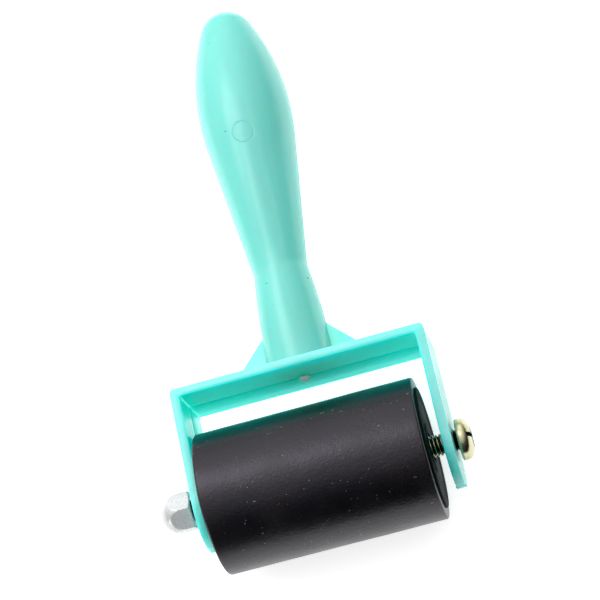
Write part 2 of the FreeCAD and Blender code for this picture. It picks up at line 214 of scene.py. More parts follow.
def combine(target, tool, operation):
    """Boolean one object with another, which is used up."""
    modifier = target.modifiers.new("combine", "BOOLEAN")
    modifier.object = tool
    modifier.operation = operation
    modifier.solver = "EXACT"
    apply_modifiers(target)
    bpy.data.objects.remove(tool)


def bevel_edges(obj, width, segments, angle=40):
    """Round every edge that is sharper than the angle, in degrees."""
    modifier = obj.modifiers.new("bevel", "BEVEL")
    modifier.width = width
    modifier.segments = segments
    modifier.limit_method = "ANGLE"
    modifier.angle_limit = math.radians(angle)
    modifier.harden_normals = False
    apply_modifiers(obj)


def arc_points(centre, radius, start, end, steps):
    """Points on an arc from one angle to another, in radians, ends included."""
    points = []
    for step in range(steps + 1):
        angle = start + (end - start) * step / steps
        points.append((centre[0] + radius * math.cos(angle), centre[1] + radius * math.sin(angle)))
    return points


def rounded(corners, steps=5):
    """A closed outline whose corners (x, y, radius) are replaced by arcs."""
    outline = []
    count = len(corners)
    for index, (x, y, radius) in enumerate(corners):
        here = Vector((x, y))
        if radius == 0:
            outline.append((x, y))
            continue
        before = (Vector(corners[index - 1][:2]) - here).normalized()
        after = (Vector(corners[(index + 1) % count][:2]) - here).normalized()
        half = before.angle(after) / 2
        reach = radius / math.tan(half)
        centre = here + (before + after).normalized() * (radius / math.sin(half))
        first = here + before * reach - centre
        last = here + after * reach - centre
        turn = first.angle_signed(last)
        for step in range(steps + 1):
            angle = -turn * step / steps
            spoke = Vector((
                first.x * math.cos(angle) - first.y * math.sin(angle),
                first.x * math.sin(angle) + first.y * math.cos(angle),
            ))
            outline.append(tuple(centre + spoke))
    return outline


def prism(outline, low, high, place):
    """A bmesh prism: an outline swept from low to high. place turns (u, v, w) into a point."""
    bm = bmesh.new()
    bottom = [bm.verts.new(place(u, v, low)) for u, v in outline]
    top = [bm.verts.new(place(u, v, high)) for u, v in outline]
    bm.faces.new(bottom)
    bm.faces.new(list(reversed(top)))
    count = len(outline)
    for index in range(count):
        following = (index + 1) % count
        bm.faces.new((bottom[index], top[index], top[following], bottom[following]))
    return bm


def along_z(u, v, w):
    """Place an outline of (x, y), swept along Z."""
    return Vector((u, v, w))


def along_x(u, v, w):
    """Place an outline of (y, z), swept along X."""
    return Vector((w, u, v))


def ring_surface(rings, closed=False):
    """A bmesh skin over rings of points. A ring of one point is a pole. closed joins last to first."""
    bm = bmesh.new()
    made = [[bm.verts.new(point) for point in ring] for ring in rings]
    pairs = list(zip(made, made[1:]))
    if closed:
        pairs.append((made[-1], made[0]))
    for lower, upper in pairs:
        count = max(len(lower), len(upper))
        for index in range(count):
            following = (index + 1) % count
            if len(lower) == 1:
                bm.faces.new((lower[0], upper[following], upper[index]))
            elif len(upper) == 1:
                bm.faces.new((lower[index], lower[following], upper[0]))
            else:
                bm.faces.new((lower[index], lower[following], upper[following], upper[index]))
    return bm


def turn_about_x(outline, segments, radius_at=None, closed=False):
    """Turn an outline of (x, radius) about X. radius_at may vary the radius with x and angle."""
    rings = []
    for x, radius in outline:
        if radius == 0:
            rings.append([Vector((x, 0, 0))])
            continue
        ring = []
        for index in range(segments):
            angle = 2 * math.pi * index / segments
            size = radius_at(x, radius, angle) if radius_at else radius
            ring.append(Vector((x, size * math.cos(angle), size * math.sin(angle))))
        rings.append(ring)
    return ring_surface(rings, closed)


def blend_step(low, high, value):
    """0 below low, 1 above high, and smooth between."""
    share = min(max((value - low) / (high - low), 0), 1)
    return share * share * (3 - 2 * share)


def soft_min(first, second, softness):
    """The smaller of two lengths, rounded where they meet."""
    share = min(max(0.5 + 0.5 * (second - first) / softness, 0), 1)
    return second * (1 - share) + first * share - softness * share * (1 - share)


# ---------------------------------------------------------------- handle and yoke

def handle_outline():
    """(height above the crossbar, radius) up the handle: bowed stem, neck, cone, shoulder, tip."""
    stem_steps, cone_steps, shoulder_steps, tip_steps = 24, 40, 60, 16
    stem, neck = Vector((STEM_RADIUS, 0)), Vector((NECK_RADIUS, NECK_HEIGHT))
    chord = neck - stem
    inward = Vector((-chord.y, chord.x)).normalized()
    bow = (stem + neck) / 2 + inward * math.sqrt(STEM_CURVE ** 2 - chord.length_squared / 4)
    start = math.atan2(stem.y - bow.y, stem.x - bow.x)
    end = math.atan2(neck.y - bow.y, neck.x - bow.x)
    outline = [(y, x) for x, y in arc_points(bow, STEM_CURVE, start, end, stem_steps)]

    shoulder = Vector((SWELL_RADIUS - SHOULDER_CURVE, SWELL_HEIGHT))
    reach = neck - shoulder
    cone_angle = math.atan2(reach.y, reach.x) + math.acos(SHOULDER_CURVE / reach.length)
    rise = HANDLE_HEIGHT - shoulder.y
    tip_radius = (SHOULDER_CURVE ** 2 - rise ** 2 - shoulder.x ** 2) / (2 * (SHOULDER_CURVE - rise))
    tip = Vector((0, HANDLE_HEIGHT - tip_radius))
    tip_angle = math.atan2(tip.y - shoulder.y, tip.x - shoulder.x)
    cone_end = shoulder + Vector((math.cos(cone_angle), math.sin(cone_angle))) * SHOULDER_CURVE
    for step in range(1, cone_steps):
        point = neck.lerp(cone_end, step / cone_steps)
        outline.append((point.y, point.x))
    shoulder_arc = arc_points(shoulder, SHOULDER_CURVE, cone_angle, tip_angle, shoulder_steps)
    tip_arc = arc_points(tip, tip_radius, tip_angle, math.pi / 2, tip_steps)
    outline += [(y, x) for x, y in shoulder_arc + tip_arc[1:-1]]
    return outline


def radius_at_height(outline, height):
    """The outline's radius at a height, by straight interpolation between its points."""
    for (low, low_radius), (high, high_radius) in zip(outline, outline[1:]):
        if low <= height <= high:
            return low_radius + (high_radius - low_radius) * (height - low) / (high - low)
    return outline[-1][1]


def refine(values, centre, reach, step):
    """Add evenly spaced values around a centre, and drop the coarse ones there."""
    kept = [value for value in values if abs(value - centre) > reach]
    count = int(2 * reach / step)
    kept += [centre - reach + 2 * reach * index / count for index in range(count + 1)]
    return sorted(kept)


def mould_marks(height, angle, radius):
    """How far the handle's surface stands out of its turned shape. The front is at 90 degrees."""
    seam_offset = abs(math.sin(angle)) * radius
    out = SEAM_HEIGHT * (1 - blend_step(0, SEAM_HALF_WIDTH, seam_offset))
    if math.sin(angle) <= 0:
        return out
    across = (angle - math.pi / 2) * radius
    along = height - min(max(height, SINK_LOW), SINK_HIGH - SINK_HALF_WIDTH)
    from_sink = math.hypot(across, along)
    out -= SINK_DEPTH * (1 - blend_step(SINK_FLOOR, SINK_HALF_WIDTH, from_sink))
    from_ejector = math.hypot(across, height - EJECTOR_HEIGHT)
    groove = 1 - blend_step(0, EJECTOR_GROOVE, abs(from_ejector - EJECTOR_RADIUS))
    return out - EJECTOR_DEPTH * groove


def handle_angles():
    """Angles round the handle, closer together on the marks in front and on the two seams."""
    coarse = 160
    angles = [2 * math.pi * index / coarse for index in range(coarse)]
    angles = refine(angles, math.pi / 2, MARK_REACH / SWELL_RADIUS, MARK_MESH / SWELL_RADIUS)
    seam_reach = 2 * SEAM_HALF_WIDTH / NECK_RADIUS
    seam_step = seam_reach / 5
    angles = refine(angles, math.pi, seam_reach, seam_step)
    first_seam = refine([], 0, seam_reach, seam_step)
    return first_seam + [angle for angle in angles if seam_reach < angle < 2 * math.pi - seam_reach]


def make_handle():
    """The turned grip with its mould marks. Its root is sunk halfway into the crossbar."""
    outline = handle_outline()
    heights = refine([height for height, radius in outline], EJECTOR_HEIGHT, MARK_REACH, MARK_MESH)
    stations = [(-PLATE / 2, outline[0][1])]
    stations += [(height, radius_at_height(outline, height)) for height in heights]
    angles = handle_angles()
    rings = [[Vector((0, BAR_UNDERSIDE + PLATE / 2, 0))]]
    for height, radius in stations:
        ring = []
        for angle in angles:
            size = radius + (mould_marks(height, angle, radius) if height > 0 else 0)
            ring.append(Vector((size * math.cos(angle), BAR_TOP + height, size * math.sin(angle))))
        rings.append(ring)
    rings.append([Vector((0, BAR_TOP + HANDLE_HEIGHT, 0))])
    return add_object("handle_moulding", ring_surface(rings), 50)


def yoke_shape(name, swell, front, back):
    """The crossbar and arms, grown by swell, but by less on the outsides that the head and nut face."""
    outer = YOKE_HALF_WIDTH + min(swell, MOULD_STEP_OUTSIDE)
    inner = ARM_INNER - swell
    top = BAR_TOP + swell
    under = BAR_UNDERSIDE - swell
    end = FRAME_LOW.y - swell
    outline = rounded([
        (-outer, end, 0), (-outer, top, CORNER_ROUND), (outer, top, CORNER_ROUND), (outer, end, 0),
        (inner, end, 0), (inner, under, INNER_ROUND), (-inner, under, INNER_ROUND), (-inner, end, 0),
    ])
    yoke = add_object(name, prism(outline, back, front, along_z))
    radius = YOKE_HALF_DEPTH + swell
    side = arc_points((-END_DROP, 0), radius, math.pi / 2, 3 * math.pi / 2, 64)
    side += [(top + PLATE, -radius), (top + PLATE, radius)]
    trim = add_object("trim", prism(side, -outer - PLATE, outer + PLATE, along_x))
    combine(yoke, trim, "INTERSECT")
    return yoke


def drill_axle_hole(piece):
    """Drill both arms in line with the axle."""
    reach = YOKE_HALF_WIDTH + PLATE
    circle = arc_points((0, 0), AXLE_HOLE, 0, 2 * math.pi, 64)[:-1]
    combine(piece, add_object("drill", prism(circle, -reach, reach, along_x)), "DIFFERENCE")


def make_gussets():
    """One thin web through the stem's root, which shows as a gusset on each side."""
    sunk = BAR_TOP - PLATE / 2
    inside_stem = STEM_RADIUS - PLATE
    outline = [
        (-GUSSET_REACH, sunk), (GUSSET_REACH, sunk), (GUSSET_REACH, BAR_TOP),
        (inside_stem, BAR_TOP + GUSSET_RISE), (-inside_stem, BAR_TOP + GUSSET_RISE),
        (-GUSSET_REACH, BAR_TOP),
    ]
    web = add_object("web", prism(outline, -GUSSET_HALF, GUSSET_HALF, along_z))
    bevel_edges(web, GUSSET_HALF * 0.3, 2)
    return web


def make_frame():
    """The whole moulding: yoke with its parting step, gussets and handle, as one closed mesh."""
    yoke = yoke_shape("yoke", 0, YOKE_HALF_DEPTH, -YOKE_HALF_DEPTH)
    bevel_edges(yoke, EDGE_BEVEL, 5)
    step = yoke_shape("step", MOULD_STEP, 0, EDGE_BEVEL - YOKE_HALF_DEPTH)
    bevel_edges(step, MOULD_STEP * 0.5, 2)
    combine(yoke, step, "UNION")
    drill_axle_hole(yoke)
    combine(yoke, make_gussets(), "UNION")
    handle = make_handle()
    combine(handle, yoke, "UNION")
    handle.data.set_sharp_from_angle(angle=math.radians(38))
    return handle


def make_gate_mark():
    """The snapped-off stub where the plastic was injected, under the middle of the crossbar."""
    bm = bmesh.new()
    bmesh.ops.create_icosphere(bm, subdivisions=4, radius=GATE_RADIUS)
    for vertex in bm.verts:
        direction = vertex.co.normalized()
        lump = GATE_LUMP_SHARE * math.sin(7 * direction.x + 2) * math.sin(9 * direction.z + 1)
        vertex.co *= 1 + lump
        vertex.co.y *= GATE_HEIGHT_SHARE
        vertex.co.z *= GATE_DEPTH_SHARE
    bmesh.ops.translate(bm, verts=bm.verts, vec=GATE_PLACE)
    return add_object("gate_mark", bm, 180)


# ---------------------------------------------------------------- roller

def make_rubber():
    """The ground rubber covering, a ring with rounded rims round the core tube."""
    low, high = SLEEVE_LOW.x, SLEEVE_HIGH.x
    outline = rounded([
        (low, CORE_RADIUS, 0), (low, ROLLER_RADIUS, RIM_ROUND),
        (high, ROLLER_RADIUS, RIM_ROUND), (high, CORE_RADIUS, 0),
    ], RIM_STEPS)
    # The rows between the rims start just past the rounding.
    rim = RIM_ROUND * 1.001
    steps = 60
    body = [(low + rim + (high - low - 2 * rim) * step / steps, ROLLER_RADIUS) for step in range(1, steps)]
    # The left end is the bore's corner and then the points of the rounded rim.
    left_end = 1 + RIM_STEPS + 1
    outline = outline[:left_end] + body + outline[left_end:]

    def ground(x, radius, angle):
        """The faint unevenness that grinding leaves on the rubber."""
        if radius < ROLLER_RADIUS - RIM_ROUND:
            return radius
        wave = math.sin(3 * angle + 90 * x) * math.sin(210 * x + 1.3 * math.cos(angle))
        return radius - GRIND_DEPTH * (GRIND_LEAST + wave)

    return add_object("rubber_covering", turn_about_x(outline, 256, ground, closed=True), 40)


def make_cap(node):
    """A moulded end cap: rounded flange, shallow dish, raised boss round the bore, skirt and hub."""
    low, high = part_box(node)
    outward = 1 if (low.x + high.x) / 2 > (SLEEVE_LOW.x + SLEEVE_HIGH.x) / 2 else -1
    face = high.x if outward > 0 else low.x
    seat = SLEEVE_HIGH.x if outward > 0 else SLEEVE_LOW.x
    inner = low.x if outward > 0 else high.x
    flange = (high.y - low.y) / 2
    skirt = CORE_BORE - CAP_WALL
    web = seat - outward * CAP_WALL

    def at(depth):
        """The place along the axle at a depth below the cap's outer face."""
        return face - outward * depth

    boss_top = at(CAP_DISH_DEPTH / 2)
    dish = at(CAP_DISH_DEPTH)
    corners = [
        (inner, CAP_BORE, 0), (at(CAP_DISH_DEPTH + CAP_COUNTERSINK), CAP_BORE, 0),
        (boss_top, CAP_MOUTH, 0.15 * MM), (boss_top, CAP_BOSS_RADIUS, 0.12 * MM),
        (dish, CAP_BOSS_RADIUS + 0.5 * MM, 0.3 * MM), (dish, CAP_DISH_RADIUS, 0.5 * MM),
        (face, CAP_RIM_RADIUS, 0.5 * MM), (face, flange, 0.45 * MM),
        (seat, flange, 0), (seat, CORE_BORE, 0), (inner, CORE_BORE, 0),
        (inner, skirt, 0.2 * MM), (web, skirt, 0.3 * MM),
        (web, CAP_HUB_RADIUS, 0.3 * MM), (inner, CAP_HUB_RADIUS, 0.2 * MM),
    ]
    name = "cap_disc_right" if outward > 0 else "cap_disc_left"
    return add_object(name, turn_about_x(rounded(corners), 192, closed=True), 40)


# ---------------------------------------------------------------- axle

def thread_radius(x, radius, angle):
    """A helical thread: a narrow crest, smooth flanks and a rounded root in each turn."""
    phase = (x / THREAD_PITCH - angle / (2 * math.pi)) % 1.0
    from_crest = abs(phase - 0.5) * 2
    crest_end, root_start = 0.12, 0.94
    return radius - THREAD_DEPTH * blend_step(crest_end, root_start, from_crest)


def make_screw():
    """The screw: a threaded shank that tapers in at its tip, joined to its head."""
    seat = SCREW_HIGH.x - HEAD_HEIGHT
    tip = SCREW_LOW.x
    thread_start = 0.2 * MM
    into_head = 0.4 * MM
    shank = [(tip, 0), (tip, THREAD_ROOT_RADIUS * 0.9)]
    rows_per_turn = 14
    rows = int((seat - tip) / THREAD_PITCH * rows_per_turn)
    for row in range(rows + 1):
        x = tip + thread_start + (seat - tip) * row / rows
        shank.append((x, min(THREAD_RADIUS, THREAD_ROOT_RADIUS + (x - tip))))
    shank += [(seat + into_head, THREAD_ROOT_RADIUS), (seat + into_head, 0)]

    def threaded(x, radius, angle):
        """The thread's radius, held between its root and the shank's outline."""
        if radius <= THREAD_ROOT_RADIUS:
            return radius
        return max(min(thread_radius(x, THREAD_RADIUS, angle), radius), THREAD_ROOT_RADIUS)

    screw = add_object("screw_threaded", turn_about_x(shank, 40, threaded), 60)
    combine(screw, make_screw_head(seat), "UNION")
    screw.data.set_sharp_from_angle(angle=math.radians(35))
    return screw


def make_screw_head(seat):
    """A pan head with a domed top, a slot and a cross recess."""
    top = seat + HEAD_HEIGHT
    outline = [
        (seat, 0), (seat, HEAD_RADIUS - 0.3 * MM),
        (seat + 0.1 * MM, HEAD_RADIUS - 0.08 * MM), (seat + 0.3 * MM, HEAD_RADIUS),
    ]
    steps = 18
    for step in range(steps):
        angle = math.pi / 2 * step / steps
        x = seat + HEAD_SHOULDER + (HEAD_HEIGHT - HEAD_SHOULDER) * math.sin(angle)
        outline.append((x, HEAD_RADIUS * math.cos(angle) ** HEAD_ROUNDNESS))
    outline.append((top, 0))
    head = add_object("head", turn_about_x(outline, 96), 60)
    for name, turn, reach, depth in (
        ("slot", 0, HEAD_RADIUS * 1.2, SLOT_DEPTH),
        ("cross", math.pi / 2, CROSS_REACH, CROSS_DEPTH),
        ("cross", 0, CROSS_REACH, CROSS_DEPTH),
    ):
        half = SLOT_HALF_WIDTH
        corners = [(-reach, -half), (reach, -half), (reach, half), (-reach, half)]
        cutter = prism(corners, top - depth, top + MM, along_x)
        turned = Matrix.Rotation(RECESS_TURN + turn, 3, "X")
        bmesh.ops.rotate(cutter, verts=cutter.verts, cent=(0, 0, 0), matrix=turned)
        combine(head, add_object(name, cutter), "DIFFERENCE")
    bevel_edges(head, 0.08 * MM, 2, 50)
    return head


def nut_radius(back, angle):
    """The nut's outside at a distance back from its bearing face, at an angle about the axle."""
    sector = (angle - NUT_TURN) % (math.pi / 3) - math.pi / 6
    flat = NUT_FLATS / math.cos(sector)
    into_dome = max(back - (NUT_HEIGHT - NUT_DOME_RADIUS), 0)
    ball = math.sqrt(max(NUT_DOME_RADIUS ** 2 - into_dome ** 2, 0))
    chamfer = NUT_FLATS - 0.05 * MM + back * 1.7
    size = soft_min(flat, ball, 0.12 * MM) if into_dome > 0 else flat
    return soft_min(size, chamfer, 0.08 * MM)


def make_nut():
    """A low domed nut: a hexagon whose end is a ball and whose bearing face is bevelled round."""
    seat = NUT_HIGH.x
    bore = THREAD_RADIUS
    bottom = seat - NUT_THREAD_DEPTH
    outline = [(bottom - 0.5 * MM, 0), (bottom, bore), (seat - 0.5 * MM, bore)]
    outline += [(seat - 0.02 * MM, bore + 0.4 * MM), (seat, bore + 0.45 * MM), (seat, NUT_FLATS * 0.97)]
    steps = 90
    # Rows are evenly spaced up to this share of the height, then closer towards the dome's end.
    even = 0.6
    for step in range(1, steps):
        share = step / steps
        if share >= even:
            share = even + (1 - even) * math.sin((share - even) / (1 - even) * math.pi / 2)
        outline.append((seat - NUT_HEIGHT * share, NUT_FLATS))
    outline.append((seat - NUT_HEIGHT, 0))

    def shaped(x, radius, angle):
        """The bore stays round. Beyond it, the radius is the nut's outside."""
        if radius < NUT_FLATS * 0.9:
            return radius
        return nut_radius(seat - x, angle)

    return add_object("nut_domed", turn_about_x(outline, 360, shaped), 60)


# ---------------------------------------------------------------- materials

def new_material(name):
    """A new node material, with its node tree and its main shader."""
    material = bpy.data.materials.new(name)
    material.use_nodes = True
    tree = material.node_tree
    return material, tree, tree.nodes["Principled BSDF"]


def coordinates(tree, stretch=(1, 1, 1)):
    """Object coordinates in metres, so that a pattern's scale is in repeats per metre."""
    source = tree.nodes.new("ShaderNodeTexCoord")
    mapping = tree.nodes.new("ShaderNodeMapping")
    mapping.inputs["Scale"].default_value = stretch
    tree.links.new(source.outputs["Object"], mapping.inputs["Vector"])
    return mapping.outputs["Vector"]


def tool_coordinates(tree):
    """Coordinates along the tool's own axes, as three sockets."""
    source = tree.nodes.new("ShaderNodeTexCoord")
    mapping = tree.nodes.new("ShaderNodeMapping")
    mapping.vector_type = "TEXTURE"
    mapping.inputs["Location"].default_value = (0, 0, AXLE_HEIGHT)
    mapping.inputs["Rotation"].default_value = (-TILT, 0, 0)
    parts = tree.nodes.new("ShaderNodeSeparateXYZ")
    tree.links.new(source.outputs["Object"], mapping.inputs["Vector"])
    tree.links.new(mapping.outputs["Vector"], parts.inputs["Vector"])
    return parts.outputs["X"], parts.outputs["Y"], parts.outputs["Z"]


def calculate(tree, operation, *values):
    """A Math node. Each value may be a socket or a plain number."""
    node = tree.nodes.new("ShaderNodeMath")
    node.operation = operation
    for index, value in enumerate(values):
        if isinstance(value, (int, float)):
            node.inputs[index].default_value = value
        else:
            tree.links.new(value, node.inputs[index])
    return node.outputs["Value"]


def noise(tree, vector, scale, detail=4, roughness=0.5):
    """A noise pattern, as a value from 0 to 1."""
    node = tree.nodes.new("ShaderNodeTexNoise")
    node.inputs["Scale"].default_value = scale
    node.inputs["Detail"].default_value = detail
    node.inputs["Roughness"].default_value = roughness
    tree.links.new(vector, node.inputs["Vector"])
    return node.outputs["Fac"]


def ramp(tree, value, stops):
    """A colour ramp through stops of (position, colour)."""
    node = tree.nodes.new("ShaderNodeValToRGB")
    elements = node.color_ramp.elements
    for index, (position, colour) in enumerate(stops):
        element = elements[index] if index < len(elements) else elements.new(position)
        element.position = position
        element.color = (*colour, 1)
    tree.links.new(value, node.inputs["Fac"])
    return node.outputs["Color"]


def spread(tree, value, low, high, new_low, new_high):
    """Map a value from one range to another, held at the new range's ends."""
    node = tree.nodes.new("ShaderNodeMapRange")
    for name, number in zip(("From Min", "From Max", "To Min", "To Max"), (low, high, new_low, new_high)):
        node.inputs[name].default_value = number
    tree.links.new(value, node.inputs["Value"])
    return node.outputs["Result"]


def mix(tree, share, first, second):
    """Mix two colours. Each may be a socket or a plain colour."""
    node = tree.nodes.new("ShaderNodeMix")
    node.data_type = "RGBA"
    tree.links.new(share, node.inputs["Factor"])
    for socket, colour in (("A", first), ("B", second)):
        target = next(item for item in node.inputs if item.name == socket and item.type == "RGBA")
        if isinstance(colour, tuple):
            target.default_value = (*colour, 1)
        else:
            tree.links.new(colour, target)
    return next(item for item in node.outputs if item.type == "RGBA")


def bump(tree, shader, layers):
    """Stack bump layers of (height socket, depth in metres)."""
    previous = None
    for height, depth in layers:
        node = tree.nodes.new("ShaderNodeBump")
        node.inputs["Strength"].default_value = 1.0
        node.inputs["Distance"].default_value = depth
        tree.links.new(height, node.inputs["Height"])
        if previous is not None:
            tree.links.new(previous, node.inputs["Normal"])
        previous = node.outputs["Normal"]
    tree.links.new(previous, shader.inputs["Normal"])


def opening_masks(tree):
    """Shares from 0 to 1: walls of the yoke's opening, which get painted shade, crossbar underside, back
    half of the mould, whose painted shade is a little different.
    """
    x, y, z = tool_coordinates(tree)
    beside = calculate(tree, "SUBTRACT", calculate(tree, "ABSOLUTE", x), ARM_INNER)
    above = calculate(tree, "SUBTRACT", y, BAR_UNDERSIDE)
    depth = calculate(tree, "MAXIMUM", beside, above)
    walls = spread(tree, depth, 0.1 * MM, 1.1 * MM, 1, 0)
    between_arms = spread(tree, beside, -0.5 * MM, -0.1 * MM, 1, 0)
    underside = calculate(tree, "MULTIPLY", walls, between_arms)
    back = spread(tree, z, -0.15 * MM, 0.05 * MM, 1, 0)
    return walls, underside, back


def mint_plastic():
    """Satin moulded plastic that lets light through, with painted shade: a deep teal on the walls of the
    opening stands in for their shade and the light coming through the plastic.
    """
    material, tree, shader = new_material("mint_plastic")
    place = coordinates(tree)
    walls, underside, back = opening_masks(tree)
    flow = noise(tree, coordinates(tree, (1, 0.25, 1)), 60, 3)
    colour = ramp(tree, flow, [(0.3, (0.18, 0.63, 0.57)), (0.7, (0.21, 0.71, 0.65))])
    specks = spread(tree, noise(tree, place, 620, 1), 0.80, 0.83, 0, 1)
    colour = mix(tree, specks, colour, (0.05, 0.22, 0.19))
    # Painted shade: the walls of the opening get a deep teal, a touch different on the back half of the
    # mould, in place of their shade and the light that comes through the plastic.
    painted_shade_teal = mix(tree, back, (0.003, 0.99, 0.82), (0.012, 0.95, 0.82))
    colour = mix(tree, walls, colour, painted_shade_teal)
    tree.links.new(colour, shader.inputs["Base Color"])
    scuffs = noise(tree, coordinates(tree, (6, 1, 6)), 160, 6, 0.7)
    tree.links.new(spread(tree, scuffs, 0.35, 0.7, 0.22, 0.28), shader.inputs["Roughness"])
    tree.links.new(spread(tree, underside, 0, 1, 0.5, 0.02), shader.inputs["Specular IOR Level"])
    shader.inputs["IOR"].default_value = 1.5
    shader.inputs["Subsurface Weight"].default_value = 1.0
    shader.inputs["Subsurface Radius"].default_value = (0.08, 1.0, 0.75)
    shader.inputs["Subsurface Scale"].default_value = 0.010
    bump(tree, shader, [(noise(tree, place, 240, 3), 0.00003), (scuffs, 0.000006)])
    return material


def gate_plastic():
    """The torn, shiny, paler plastic of the gate mark."""
    material, tree, shader = new_material("gate_plastic")
    tears = noise(tree, coordinates(tree), 1600, 4, 0.6)
    colour = ramp(tree, tears, [(0.35, (0.40, 0.95, 0.90)), (0.55, (0.90, 1.0, 1.0))])
    tree.links.new(colour, shader.inputs["Base Color"])
    tree.links.new(spread(tree, tears, 0.3, 0.7, 0.1, 0.35), shader.inputs["Roughness"])
    bump(tree, shader, [(tears, 0.0004)])
    return material


def black_rubber():
    """Ground rubber: charcoal with a cloudy gloss, patches of pale haze, a fine grain and dust specks."""
    material, tree, shader = new_material("black_rubber")
    place = coordinates(tree)
    cloud = noise(tree, place, 55, 5, 0.6)
    colour = ramp(tree, cloud, [(0.3, (0.0010, 0.0009, 0.0022)), (0.7, (0.003, 0.0026, 0.0042))])
    patches = spread(tree, noise(tree, place, 26, 3, 0.5), 0.48, 0.68, 0, 1)
    powder = spread(tree, noise(tree, place, 1500, 2, 0.7), 0.42, 0.62, 0, 0.75)
    colour = mix(tree, calculate(tree, "MULTIPLY", patches, powder), colour, (0.022, 0.018, 0.016))
    dust = spread(tree, noise(tree, place, 1100, 2, 0.6), 0.70, 0.74, 0, 0.4)
    colour = mix(tree, dust, colour, (0.42, 0.40, 0.38))
    tree.links.new(colour, shader.inputs["Base Color"])
    grain = noise(tree, place, 1500, 3, 0.6)
    tree.links.new(spread(tree, cloud, 0.3, 0.7, 0.25, 0.37), shader.inputs["Roughness"])
    shader.inputs["IOR"].default_value = 1.45
    shader.inputs["Specular Tint"].default_value = (0.93, 0.88, 1.0, 1)
    bump(tree, shader, [(cloud, 0.0003), (grain, 0.00006)])
    return material


def cap_plastic():
    """Dark satin plastic, slightly uneven."""
    material, tree, shader = new_material("cap_plastic")
    cloud = noise(tree, coordinates(tree), 130, 4)
    colour = ramp(tree, cloud, [(0.3, (0.0025, 0.0045, 0.0042)), (0.7, (0.006, 0.010, 0.0095))])
    tree.links.new(colour, shader.inputs["Base Color"])
    tree.links.new(spread(tree, cloud, 0.3, 0.7, 0.45, 0.6), shader.inputs["Roughness"])
    shader.inputs["Specular IOR Level"].default_value = 0.03
    bump(tree, shader, [(noise(tree, coordinates(tree), 700, 3), 0.00004)])
    return material


def core_plastic():
    """Grey plastic with fine lines along it, for the extruded tube inside the roller."""
    material, tree, shader = new_material("core_plastic")
    lines = noise(tree, coordinates(tree, (0.1, 1, 1)), 900, 3)
    colour = ramp(tree, lines, [(0.3, (0.26, 0.27, 0.26)), (0.7, (0.32, 0.33, 0.32))])
    tree.links.new(colour, shader.inputs["Base Color"])
    tree.links.new(spread(tree, lines, 0.3, 0.7, 0.45, 0.6), shader.inputs["Roughness"])
    bump(tree, shader, [(lines, 0.00005)])
    return material


def plated_metal(name, dark, light, rough, grain_scale):
    """Plated steel: colour drifts with the plating, with fine pits and handling marks."""
    material, tree, shader = new_material(name)
    place = coordinates(tree)
    drift = noise(tree, place, 260, 4, 0.6)
    colour = ramp(tree, drift, [(0.3, dark), (0.7, light)])
    marks = noise(tree, place, grain_scale, 5, 0.65)
    tree.links.new(spread(tree, marks, 0.3, 0.7, rough[0], rough[1]), shader.inputs["Roughness"])
    bump(tree, shader, [(marks, 0.00002)])
    return material, tree, shader, colour


def yellow_zinc():
    """Passivated zinc that shines on the head and crests. Painted shade makes its colour almost black in
    the thread's roots, with some grime there, and on the thread in the gaps between the arms and the head
    and nut.
    """
    material, tree, shader, colour = plated_metal(
        "yellow_zinc", (0.42, 0.40, 0.23), (0.62, 0.61, 0.42), (0.14, 0.28), 900,
    )
    across, along, out = tool_coordinates(tree)
    from_axis = calculate(tree, "SQRT", calculate(
        tree, "ADD", calculate(tree, "POWER", along, 2), calculate(tree, "POWER", out, 2),
    ))
    crest = THREAD_RADIUS - 0.04 * MM
    roots = spread(tree, from_axis, THREAD_ROOT_RADIUS, crest, 1, 0)
    beside_arm = spread(tree, calculate(tree, "ABSOLUTE", across), ARM_INNER, YOKE_HALF_WIDTH, 0, 1)
    threaded = spread(tree, from_axis, THREAD_RADIUS, THREAD_RADIUS + 0.1 * MM, 1, 0)
    # Painted shade: near-black in the thread's roots and on the thread in the gaps beyond the arms, where
    # the head and nut shade it.
    shade = calculate(tree, "MAXIMUM", roots, calculate(tree, "MULTIPLY", beside_arm, threaded))
    tree.links.new(mix(tree, shade, colour, (0.010, 0.014, 0.008)), shader.inputs["Base Color"])
    shader.inputs["Metallic"].default_value = 1.0
    return material


def bright_nickel():
    """Pale satin plating, slightly milky."""
    material, tree, shader, colour = plated_metal(
        "bright_nickel", (0.55, 0.545, 0.55), (0.66, 0.65, 0.66), (0.22, 0.36), 1200,
    )
    tree.links.new(colour, shader.inputs["Base Color"])
    shader.inputs["Metallic"].default_value = 0.25
    return material


def table_paper():
    """White paper with a painted pool of light round the tool, like a lit sweep: there it gives off light,
    which lights the tool from below and washes out its shadow; beyond it the light falls off and its
    colour is painted a darker grey.
    """
    material, tree, shader = new_material("table_paper")
    place = coordinates(tree)
    fibre = noise(tree, place, 300, 4)
    away = tree.nodes.new("ShaderNodeVectorMath")
    away.operation = "LENGTH"
    tree.links.new(place, away.inputs[0])
    near = spread(tree, away.outputs["Value"], LIT_RADIUS, DIM_RADIUS, 1, 0)
    white = ramp(tree, fibre, [(0.3, (0.88, 0.88, 0.88)), (0.7, (0.91, 0.91, 0.91))])
    # Painted light: near the tool the paper is white and gives off light; farther out its colour is
    # darkened to grey.
    tree.links.new(mix(tree, near, (0.4, 0.4, 0.4), white), shader.inputs["Base Color"])
    tree.links.new(calculate(tree, "MULTIPLY", near, PAPER_GLOW), shader.inputs["Emission Strength"])
    shader.inputs["Roughness"].default_value = 0.9
    shader.inputs["Emission Color"].default_value = (1, 1, 1, 1)
    return material


# ---------------------------------------------------------------- assembly

def dress(piece, body, slot, material, *nodes):
    """Give a piece its finish and its body, and hide the CAD nodes it stands for. The slot argument is not
    used.
    """
    piece.data.materials.clear()
    piece.data.materials.append(material)
    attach(piece, body)
    if nodes:
        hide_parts(*nodes)


